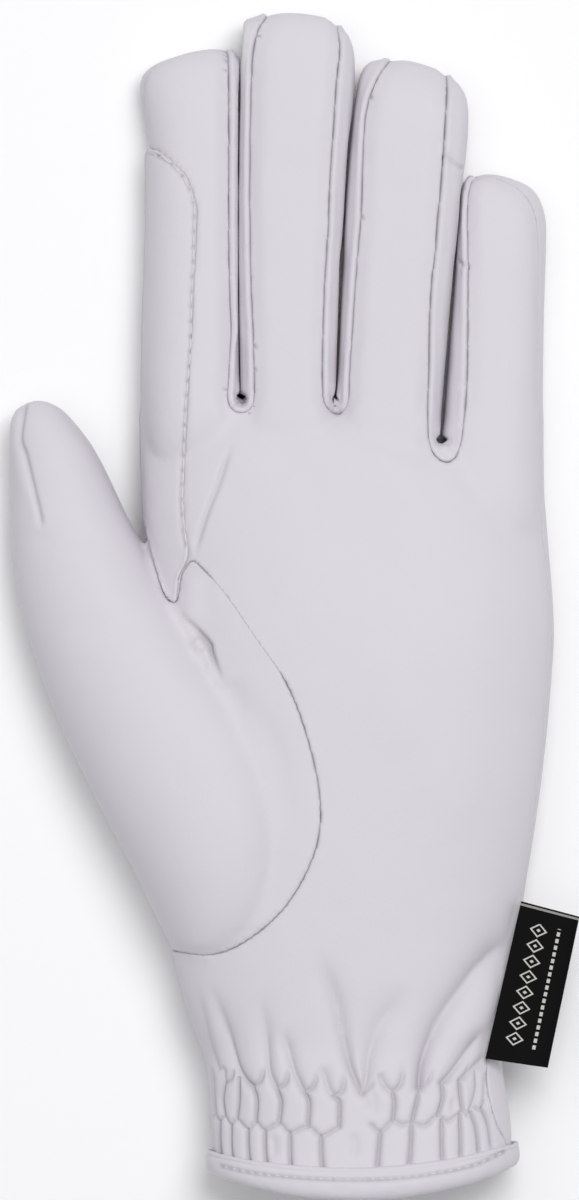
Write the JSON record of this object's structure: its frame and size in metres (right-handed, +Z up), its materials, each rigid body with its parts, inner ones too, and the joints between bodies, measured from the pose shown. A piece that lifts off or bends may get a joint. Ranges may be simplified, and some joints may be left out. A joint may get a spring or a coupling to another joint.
{
  "type": "horse riding glove",
  "caption": "Left riding glove of white synthetic leather with inset thumb, rein patch, side strips between the fingers, shirred wrist, bound cuff and a black woven side label.",
  "frame": {"origin": "on the surface under the middle of the glove, which lies on its back", "axes": "+Z up through the palm, +Y towards the fingertips, -X towards the thumb"},
  "size_m": [0.1154, 0.242, 0.0346],
  "materials": {
    "leather": "smooth matte white synthetic leather",
    "binding": "smooth matte white synthetic leather, folded",
    "label": "black woven polyester"
  },
  "bodies": {
    "root": {"palm_panel": "leather", "back_panel": "leather", "fourchette_index_middle": "leather", "fourchette_middle_ring": "leather", "fourchette_ring_little": "leather", "thumb": "leather", "rein_patch": "leather", "cuff_binding": "binding", "woven_label": "label"}
  },
  "joints": []
}
